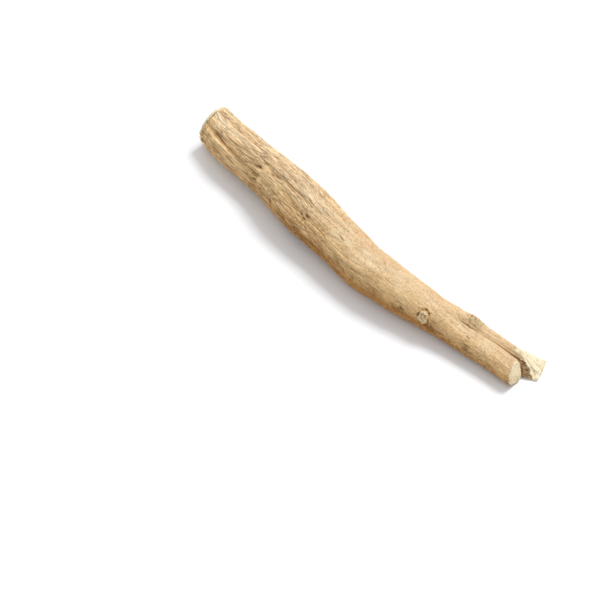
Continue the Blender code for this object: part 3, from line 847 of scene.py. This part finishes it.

    # Pale spots: partly worn bark, partly painted highlight on crests and nubs.
    rubbed_and_highlit = patches(RUBBED_AND_HIGHLIT, *skin) * np.clip(1 + noise(place / 2, angle, 30, 331), 0, 1.5)
    past = np.clip(place - GRAIN_FROM, 0, None)
    stretched = place + GRAIN_SHORTER * past**2 / (past + GRAIN_EASE)
    swayed = np.radians(swayed_angle(place, angle, 7))
    olive = np.maximum(patches(STAINS, *skin), 0.7 * shoulder)
    rusty = patches(STAINS, *skin, 5) + 0.35 * knot_wood
    # Painted shade of the lower and under sides, as a dark tint that grows along the root and low down;
    # the tan of the smooth half is added to it.
    shade_tint = window(angle, *SHADE_TINTED_SIDE)
    shade_tint *= HEAD_SHADE_TINT + (1 - HEAD_SHADE_TINT) * rising(place, *SHADE_TINT_GROWS)
    shade_tint *= 1 - TIP_LESS_SHADE_TINT * rising(place, *SHADE_TINT_SHRINKS)
    shade_tint += LOW_SHADE_TINT * window(angle, *LOW_SIDE) * rising(place, *LOW_SHADE_TINT_GROWS)
    tanned = rising(wandering, *TAN_GROWS) * side_window(angle, *TANNED_SIDE)
    shade_tint += TAN * tanned * (0.9 + 0.5 * noise(place / 7, angle, 8, 341))
    values = {
        "wood": np.clip(bare + 0.51 * knot_wood, 0, 1),
        "dark": dark,
        # Its third part, the relief's height with the pale spots, carries painted highlight and painted
        # shade.
        "stain": side_by_side(olive, rusty, np.clip(furrows + fine, -1, 1) + 0.5 * rubbed_and_highlit),
        "grain": side_by_side(stretched, smooth * np.cos(swayed), smooth * np.sin(swayed)),
        # The tint's parts: painted shade with the tan, painted warm shade, and how scratched the bark
        # is.
        "tint": side_by_side(shade_tint, window(angle, *WARM_SHADE_SIDE), np.clip(0.24 + 0.78 * calm, 0, 1.4)),
    }
    ends = end_middles(along, sideways, height)
    ends[1, 0] -= TIP_SHORT
    rings = side_by_side(x + lean, y, z)
    return tube_mesh("main_root", *capped(rings, turn, ends, (HEAD_DISH, TIP_DISH), values, 500))


def break_height(x, y):
    """Height of the slanting break over a point of the floor."""
    fall = BREAK_NORMAL[0] * (x - BREAK_POINT[0]) + BREAK_NORMAL[1] * (y - BREAK_POINT[1])
    return BREAK_POINT[2] - fall / BREAK_NORMAL[2]


def wood_noise(x, y, cell, cells_round, seed):
    """Noise over the broken wood, drawn out along its fibres."""
    return noise(x / cell, y * FIBRE_TURN, cells_round, seed)


def splintered(x, y):
    """How far the broken wood stands over the break's plane: long fibres, and splinters in steps."""
    ledge = rising(wood_noise(x, y, 14, 12, 603), -0.1, 0.15)
    return noises(x, y * FIBRE_TURN, FIBRES) + LEDGE_HEIGHT * ledge - FIBRE_DEPTH


def side_root_mesh(wrinkling):
    """The side root's surface: ellipses along its curve, each ray cut short at the broken wood."""
    along = np.linspace(SIDE_STATIONS[0][0], SIDE_STATIONS[-1][0], SIDE_ROWS)
    turn = np.arange(SIDE_COLUMNS) * 360.0 / SIDE_COLUMNS
    sideways, height, half_width, half_height = side_section(along)
    place, angle = np.meshgrid(along, turn, indexing="ij")
    cosine, sine = np.cos(np.radians(angle)), np.sin(np.radians(angle))
    way = slope, tilt = heading(along, sideways)
    ellipse = half_width * half_height / np.hypot(half_height * cosine, half_width * sine)
    ripple = 1 + sum(
        share * np.sin(waves * np.radians(angle) + turned * place) for waves, share, turned in RIPPLES
    )
    boost = 0.8 * bell_at(place, *ROUGH_KNOB) + 0.7 * bell_at(place, *ROUGH_END) - 0.2
    fine, dark = wrinkle_height(place, angle, SIDE_RADIUS, boost, 57)
    sunk = 0.35 * step((JOIN_END + JOIN_FADE + 0.5 - place) / JOIN_FADE)
    knobbed = bell_at(place, *KNOB_PLACE, 4)
    lumps = 0.6 + noises(place, angle, KNOB_LUMPS)
    bark = ellipse * ripple + 0.5 * wrinkling * fine - sunk + KNOB_HEIGHT * knobbed * lumps

    fall = (BREAK_NORMAL[0] * slope - BREAK_NORMAL[1]) / (BREAK_NORMAL[2] * tilt)
    rise = sine - fall * cosine
    room = break_height(along[:, None], sideways) - height
    free = np.clip((place - 130) / 3, 0, 1) * np.clip(room / 0.8, 0, 1)
    edge = looked_up(WOOD_EDGE, place) + 0.3 * noise(place / 1.5, angle, 20, 611)
    reach = np.where(rise > 0, room / np.maximum(rise, 1e-6), np.inf)
    radius = np.minimum(bark, reach)
    for _ in range(2):
        x, y, z = skin_points(place, angle, radius, sideways, height, way)
        stands = room + free * splintered(x, y)
        reach = np.where(rise > 0, stands / np.maximum(rise, 1e-6), np.inf)
        reach += 3.0 * step((edge - y) / 0.5 + 0.5)
        radius = np.minimum(bark, np.maximum(reach, 0.05))
    x, y, z = skin_points(place, angle, radius, sideways, height, way)

    ragged = noises(place, angle, WOOD_RAGGED)
    cut_off = bark - reach + ragged
    far_side = side_window(angle, *FAR_SIDE) * rising(place + 2 * ragged, *FAR_SIDE_BARES)
    wood = np.maximum(rising(cut_off, 0.05, 0.12), rising(place + 2 * ragged, *END_BARES))
    wood = np.maximum(wood, far_side) * rising(place, *WOOD_STARTS)
    # Painted shadow that the standing bark casts along its torn edge over the wood.
    edge_shadow = bell(cut_off + 0.02, 0.12) * rising(place, *WOOD_STARTS) * (1 - far_side)
    streaks = bell(wood_noise(x, y, 9, 60, 606), 0.12)
    split = bell(wood_noise(x, y, 16, 10, 607), 0.05)
    blotch = bell_at(place, *BLOTCH) * window(angle, *BLOTCHED_SIDE)
    blotch = blotch * (0.7 + 0.5 * noise(place, angle, 24, 608))
    # Painted shade in the wrinkles' valleys, and the dark blotch of the bark.
    dark = np.clip(0.45 * dark + blotch, 0, 1) * (1 - wood)
    dark += wood * np.clip(0.22 * streaks + 0.35 * split, 0, 1)
    spotted = knobbed * rising(noise(place / 0.7, angle, 22, 612), 0.05, 0.3)
    # Painted contact shadow on the side root where it lies against the root.
    beside = through(ROOT_STATIONS, np.clip(along, SEAM_SHADOW_FROM, ROOT_STATIONS[-1][0]))
    root_y, root_thickness = (row[:, None] for row in beside)
    gap = np.hypot(y - root_y, z - root_thickness / 2 - CLEARANCE) - root_thickness / 2
    seam_shadow = bell(np.clip(gap, 0, 9), 0.28) * (1 - rising(place, 139, 1.5))
    dark = np.maximum.reduce([dark, 0.6 * edge_shadow, KNOB_DARKNESS * spotted, 0.9 * seam_shadow])
    swayed = np.radians(swayed_angle(place, angle, 57))
    near_side = window(angle, *NEAR_SIDE)
    # Painted shade of the near side, which faces the root, and of the underside.
    shade_tint = np.maximum(0.3 * near_side * rising(place, 132, 5), 0.8 * window(angle, *UNDER_SIDE))
    olive = 0.7 * bell_at(place, *ROUGH_KNOB, 4) + 0.9 * blotch
    bark_grain = side_by_side(
        place * (1 + GRAIN_SHORTER), SIDE_RADIUS * np.cos(swayed), SIDE_RADIUS * np.sin(swayed)
    )
    values = {
        "wood": wood,
        "dark": dark,
        "stain": side_by_side(olive, 0.15 * bell_at(place, *RUSTED), np.clip(fine, -1, 1)),
        "grain": np.where(wood[..., None] > 0.5, side_by_side(x, y, z * 0.3), bark_grain),
        # The tint's parts: painted shade, painted warm shade on the near side, and how scratched the
        # bark is.
        "tint": side_by_side(shade_tint, near_side, 0.3),
    }
    ends, rings = end_middles(along, sideways, height), side_by_side(x, y, z)
    return tube_mesh("side_root", *capped(rings, turn, ends, (0.0, SIDE_TIP_DISH), values, 520))


class Nodes:
    """Short ways to add and join the nodes of one material."""

    def __init__(self, material):
        material.use_nodes = True
        self.tree = material.node_tree
        self.shader = self.tree.nodes["Principled BSDF"]

    def put(self, node, inputs):
        """Joins each output to the node's input of that name, or sets the input to a plain value."""
        for key, value in inputs.items():
            if isinstance(value, bpy.types.NodeSocket):
                self.tree.links.new(value, node.inputs[key])
            else:
                node.inputs[key].default_value = value

    def add(self, kind, inputs, **settings):
        """A node with its settings and its inputs."""
        node = self.tree.nodes.new(kind)
        for key, value in settings.items():
            setattr(node, key, value)
        self.put(node, inputs)
        return node

    def attribute(self, name, field="Fac"):
        """One of the mesh's own values."""
        return self.add("ShaderNodeAttribute", {}, attribute_name=name).outputs[field]

    def parts(self, name):
        """The three parts of one of the mesh's own vectors."""
        return self.add("ShaderNodeSeparateXYZ", {0: self.attribute(name, "Vector")}).outputs

    def noise(self, vector, along, across, detail, roughness):
        """Cloudy noise of about 0.2 to 0.8, by its cells per unit along the grain and across it."""
        scaled = self.add(
            "ShaderNodeVectorMath", {0: vector, 1: (along, across, across)}, operation="MULTIPLY"
        )
        inputs = {"Vector": scaled.outputs[0], "Scale": 1.0, "Detail": detail, "Roughness": roughness}
        return self.add("ShaderNodeTexNoise", inputs).outputs["Fac"]

    def math(self, operation, first, second=0.0):
        """Arithmetic on two numbers."""
        return self.add("ShaderNodeMath", {0: first, 1: second}, operation=operation).outputs[0]

    def times(self, first, second):
        """The product of two numbers."""
        return self.math("MULTIPLY", first, second)

    def ramp(self, value, low, high, end=1.0, start=0.0):
        """A smooth change from start to end as the value goes from low to high."""
        inputs = {"Value": value, "From Min": low, "From Max": high, "To Min": start, "To Max": end}
        node = self.add("ShaderNodeMapRange", inputs, interpolation_type="SMOOTHSTEP")
        return node.outputs["Result"]

    def layered(self, colour, layers):
        """A colour under layers, each a factor, a colour and, where it isn't MIX, its blend."""
        for factor, over, *blend in layers:
            node = self.add("ShaderNodeMix", {"Factor": factor}, data_type="RGBA")
            node.blend_type = blend[0] if blend else "MIX"
            under_key, over_key = (k for k, socket in enumerate(node.inputs) if socket.type == "RGBA")
            self.put(node, {under_key: colour, over_key: over})
            colour = next(socket for socket in node.outputs if socket.type == "RGBA")
        return colour


def root_material(tones):
    """Dry bark over pale wood: the wood shows where the piece's own values say that it is bared.

    The bark is two buff tones in blotches with olive and rusty stains, with painted highlight along its
    crests and painted shade in its valleys and on its lower sides, with fibres and threads along the
    grain. The wood is cream with streaks.
    """
    made = bpy.data.materials.get("dry_root")
    if made is not None:
        return made
    made = bpy.data.materials.new("dry_root")
    n = Nodes(made)
    grain = n.attribute("grain", "Vector")
    dark, wood = n.attribute("dark"), n.attribute("wood")
    olive_stain, rusty_stain, height = n.parts("stain")
    shade_tinted, warm_shaded, scratched = n.parts("tint")
    pale, buff, crest, valley, olive, rust, timber, shade_tint, warm_shade, timber_streak = (
        (*getattr(tones, name), 1.0) for name in RootTones.__annotations__
    )

    blotch = n.noise(grain, 0.07, 0.16, 3.0, 0.6)
    cloud = n.noise(grain, 0.16, 0.30, 3.0, 0.6)
    fibre = n.noise(grain, 0.22, 1.7, 4.0, 0.62)
    thread = n.noise(grain, 0.60, 5.0, 3.0, 0.6)
    speck = n.noise(grain, 0.60, 1.6, 3.0, 0.75)
    flush = n.noise(grain, 0.18, 0.5, 3.0, 0.65)
    streak = n.noise(grain, 0.30, 3.2, 4.0, 0.6)
    mottle = n.noise(grain, 0.8, 1.4, 3.0, 0.6)
    spread = n.ramp(speck, 0.30, 0.60, 0.95, 0.45)
    scratch = n.math("SUBTRACT", n.noise(grain, 0.13, 1.05, 1.5, 0.5), 0.5)
    scratch = n.ramp(n.math("ABSOLUTE", scratch), 0.008, 0.055, 0.0, 1.0)
    scratch = n.times(scratch, n.ramp(cloud, 0.36, 0.52, 1.0, 0.45))
    scratch = n.times(scratch, scratched)

    bark = n.layered(buff, (
        (n.ramp(blotch, 0.36, 0.64), pale),
        (n.ramp(cloud, 0.50, 0.72, 0.25), olive),
        (n.ramp(cloud, 0.46, 0.28, 0.30), rust),
        (n.times(olive_stain, spread), olive),
        (n.times(rusty_stain, spread), rust),
        (n.ramp(fibre, 0.52, 0.74, 0.45), crest),
        # Painted highlight on the relief's crests and pale spots, and painted shade, browner, in its
        # low places.
        (n.ramp(height, 0.0, 0.5, 0.60), crest),
        (n.ramp(height, -0.1, -0.8, 0.22), rust),
        (n.ramp(fibre, 0.44, 0.26, 0.30), rust),
        (n.ramp(speck, 0.51, 0.62, 0.50), crest),
        (n.ramp(speck, 0.49, 0.37, 0.26), valley),
        (n.ramp(flush, 0.50, 0.62, 0.26), rust),
        (n.times(scratch, 0.39), valley),
        (n.ramp(thread, 0.42, 0.27, 0.25), valley),
        # Painted warm shade: the lower sides multiplied by a warm tint.
        (n.times(warm_shaded, 0.65), warm_shade, "MULTIPLY"),
        # Painted shade: the lower and under sides, and the tan, multiplied by a dark tint.
        (n.times(shade_tinted, n.ramp(cloud, 0.30, 0.62, 1.0, 0.75)), shade_tint, "MULTIPLY"),
        # The valley colour: the bark's own dark specks, spots and blotches, and painted shade in the
        # wrinkles, furrows, creases and groove, along the bark's edges and where the roots touch.
        (n.ramp(dark, 0.03, 1.0, 0.90), valley),
    ))
    bared = n.layered(timber, (
        (n.ramp(streak, 0.42, 0.70, 0.8), timber_streak),
        (n.ramp(mottle, 0.55, 0.75, 0.5), timber_streak),
        (n.times(rusty_stain, 0.7), timber_streak),
        (n.ramp(dark, 0.05, 1.0, 0.85), valley),
    ))
    edge = n.math("ADD", wood, n.times(n.math("SUBTRACT", speck, 0.5), 0.5))
    fine = n.math("ADD", n.times(fibre, 0.5), n.times(thread, 0.35))
    fine = n.math("ADD", fine, n.times(speck, 1.1))
    fine = n.math("SUBTRACT", fine, n.times(scratch, 0.45))
    relief = n.add("ShaderNodeBump", {"Height": fine, "Distance": 0.00055, "Strength": 0.95})
    n.put(n.shader, {
        "Base Color": n.layered(bark, [(n.ramp(edge, 0.35, 0.65), bared)]),
        "Roughness": n.ramp(fibre, 0.3, 0.7, 0.80, 0.95),
        "Specular IOR Level": 0.22,
        "Normal": relief.outputs["Normal"],
    })
    return made


def place_piece(mesh, material):
    """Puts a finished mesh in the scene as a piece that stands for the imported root."""
    piece = bpy.data.objects.new(mesh.name, mesh)
    bpy.context.scene.collection.objects.link(piece)
    mesh.materials.append(material)
    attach(piece, BODY)
    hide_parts(NODE)
    return piece


def colour_property(name, description, default):
    """A colour that a user may change."""
    return FloatVectorProperty(
        name=name, description=description, default=default, size=3, min=0.0, max=1.0, subtype="COLOR"
    )


class RootSurface(bpy.types.PropertyGroup):
    """How strongly the bark is wrinkled."""

    wrinkling: FloatProperty(
        name="Wrinkling",
        description="How deep the fine wrinkles of the bark are, as a share of their natural depth",
        default=1.0,
        min=0.0,
        max=2.0,
        subtype="FACTOR",
    )


class RootTones(bpy.types.PropertyGroup):
    """The colours of the bark and of the wood."""

    pale_bark: colour_property("Pale bark", "Colour of the paler blotches", (0.92, 0.70, 0.432))
    buff_bark: colour_property("Buff bark", "Colour of the darker bark", (0.86, 0.614, 0.352))
    # Painted highlight on the relief's crests and pale spots, and the pale fibres and flecks.
    crest: colour_property("Crest", "Colour of the rubbed crests of the wrinkles", (0.93, 0.745, 0.49))
    # Painted shade in wrinkles, creases and where the roots touch, and the colour of the dark specks
    # and blotches.
    valley: colour_property("Valley", "Colour deep in wrinkles and cracks", (0.20, 0.098, 0.032))
    olive: colour_property("Olive stain", "Colour of the dull greenish stains", (0.48, 0.36, 0.17))
    rust: colour_property("Rusty stain", "Colour of the warm brown stains", (0.72, 0.44, 0.225))
    wood: colour_property("Wood", "Colour of freshly bared wood", (0.90, 0.80, 0.575))
    # Painted shade of the lower and under sides, and the tan.
    shade_tint: colour_property("Soil", "Tint that soil multiplies the bark by", (0.60, 0.45, 0.285))
    # Painted warm shade of the lower sides.
    warm_shade: colour_property("Warmth", "Tint that multiplies the lower sides", (1.0, 0.87, 0.62))
    wood_streak: colour_property("Wood streak", "Colour of the streaks in the wood", (0.78, 0.62, 0.36))


class RootStudio(bpy.types.PropertyGroup):
    """The floor, the lights and the camera."""

    floor: colour_property("Floor", "Colour of the plain floor", (0.93, 0.93, 0.93))
    sky: colour_property("Surround", "Colour of the light from all round", (0.95, 0.97, 1.0))
    sky_strength: FloatProperty(
        name="Surround", description="Strength of the light from all round", default=0.78, min=0.0
    )
    key_power: FloatProperty(
        name="Key light", description="Power of the large light", default=6.2, min=0.0, unit="POWER"
    )
    camera_azimuth: FloatProperty(
        name="Camera azimuth", description="Turn of the camera round the root, from the side at -Y",
        default=math.radians(48.6), subtype="ANGLE",
    )
    camera_elevation: FloatProperty(
        name="Camera elevation", description="Angle of the camera above the floor",
        default=math.radians(48.0), subtype="ANGLE",
    )
    camera_distance: FloatProperty(
        name="Camera distance", description="Distance of the camera",
        default=0.75, min=0.1, unit="LENGTH",
    )
    camera_lens: FloatProperty(
        name="Lens", description="Focal length of the camera", default=146.6, min=10.0, unit="CAMERA"
    )


# The studio: where the camera aims, the light's place and size, and the floor's half size.
CAMERA_AIM = (0.00083, -0.02559, 0.0)
SENSOR_WIDTH = 36.0
KEY_TURN = math.radians(125.0)
KEY_ELEVATION = math.radians(58.0)
KEY_DISTANCE = 0.9
KEY_SIZE = 0.40
FLOOR_HALF = 3.0


def direction(azimuth, elevation):
    """The unit vector to a place seen at that azimuth, from -Y towards +X, and elevation."""
    flat = math.cos(elevation)
    return Vector((math.sin(azimuth) * flat, -math.cos(azimuth) * flat, math.sin(elevation)))


def place_facing(name, data, place, target):
    """Puts a camera or a light at a place, looking at the target."""
    made = bpy.data.objects.new(name, data)
    bpy.context.scene.collection.objects.link(made)
    made.location = place
    made.rotation_euler = (Vector(target) - place).to_track_quat("-Z", "Y").to_euler()
    return made


def build_floor(colour):
    """A plain, matt, pale floor."""
    corners = [(x * FLOOR_HALF, y * FLOOR_HALF, 0) for x, y in ((-1, -1), (1, -1), (1, 1), (-1, 1))]
    mesh = bpy.data.meshes.new("floor")
    mesh.from_pydata(corners, [], [(0, 1, 2, 3)])
    floor = bpy.data.objects.new("floor", mesh)
    bpy.context.scene.collection.objects.link(floor)
    paper = bpy.data.materials.new("paper")
    paper.use_nodes = True
    shader = paper.node_tree.nodes["Principled BSDF"]
    shader.inputs["Base Color"].default_value = (*colour, 1.0)
    shader.inputs["Roughness"].default_value = 0.9
    mesh.materials.append(paper)


class BuildMainRoot(bpy.types.Operator):
    """Builds the root's bark and its two cut faces"""

    bl_idname = "dried_root.main_root"
    bl_label = "Root"

    def execute(self, context):
        scene = context.scene
        place_piece(main_root_mesh(scene.root_surface.wrinkling), root_material(scene.root_tones))
        return {"FINISHED"}


class BuildSideRoot(bpy.types.Operator):
    """Builds the side root and its long slanting break"""

    bl_idname = "dried_root.side_root"
    bl_label = "Side root"

    def execute(self, context):
        scene = context.scene
        place_piece(side_root_mesh(scene.root_surface.wrinkling), root_material(scene.root_tones))
        return {"FINISHED"}


class BuildStudio(bpy.types.Operator):
    """Builds the floor, the lights and the camera"""

    bl_idname = "dried_root.studio"
    bl_label = "Studio"

    def execute(self, context):
        scene = context.scene
        studio = scene.root_studio
        scene.view_settings.view_transform = "Standard"
        build_floor(studio.floor)
        world = bpy.data.worlds.new("surround")
        world.use_nodes = True
        background = world.node_tree.nodes["Background"]
        background.inputs["Color"].default_value = (*studio.sky, 1.0)
        background.inputs["Strength"].default_value = studio.sky_strength
        scene.world = world
        lamp = bpy.data.lights.new("key", "AREA")
        lamp.size = KEY_SIZE
        lamp.energy = studio.key_power
        key_place = direction(studio.camera_azimuth + KEY_TURN, KEY_ELEVATION) * KEY_DISTANCE
        place_facing("key", lamp, key_place, (0, 0, 0))
        lens = bpy.data.cameras.new("camera")
        lens.sensor_width = SENSOR_WIDTH
        lens.lens = studio.camera_lens
        aim = Vector(CAMERA_AIM)
        away = direction(studio.camera_azimuth, studio.camera_elevation) * studio.camera_distance
        scene.camera = place_facing("camera", lens, aim + away, aim)
        return {"FINISHED"}


class RootPanel(bpy.types.Panel):
    """Lists the steps that build the root and its studio"""

    bl_idname = "VIEW3D_PT_dried_root"
    bl_label = "Dried root"
    bl_space_type = "VIEW_3D"
    bl_region_type = "UI"
    bl_category = "Root"

    def draw(self, context):
        layout = self.layout
        for group in GROUPS:
            settings = getattr(context.scene, GROUPS[group])
            for name in group.__annotations__:
                layout.prop(settings, name)
        for operator in OPERATORS:
            layout.operator(operator.bl_idname)


GROUPS = {RootSurface: "root_surface", RootTones: "root_tones", RootStudio: "root_studio"}
OPERATORS = (BuildMainRoot, BuildSideRoot, BuildStudio)


def register():
    """Adds the settings, the operators and the panel."""
    for group, name in GROUPS.items():
        bpy.utils.register_class(group)
        setattr(bpy.types.Scene, name, PointerProperty(type=group))
    for each in (*OPERATORS, RootPanel):
        bpy.utils.register_class(each)


def unregister():
    """Takes the panel, the operators and the settings away again."""
    for each in (RootPanel, *reversed(OPERATORS)):
        bpy.utils.unregister_class(each)
    for group, name in GROUPS.items():
        delattr(bpy.types.Scene, name)
        bpy.utils.unregister_class(group)


def main():
    """Builds every piece and the studio."""
    register()
    bpy.ops.dried_root.main_root()
    bpy.ops.dried_root.side_root()
    bpy.ops.dried_root.studio()


if __name__ == "__main__":
    main()
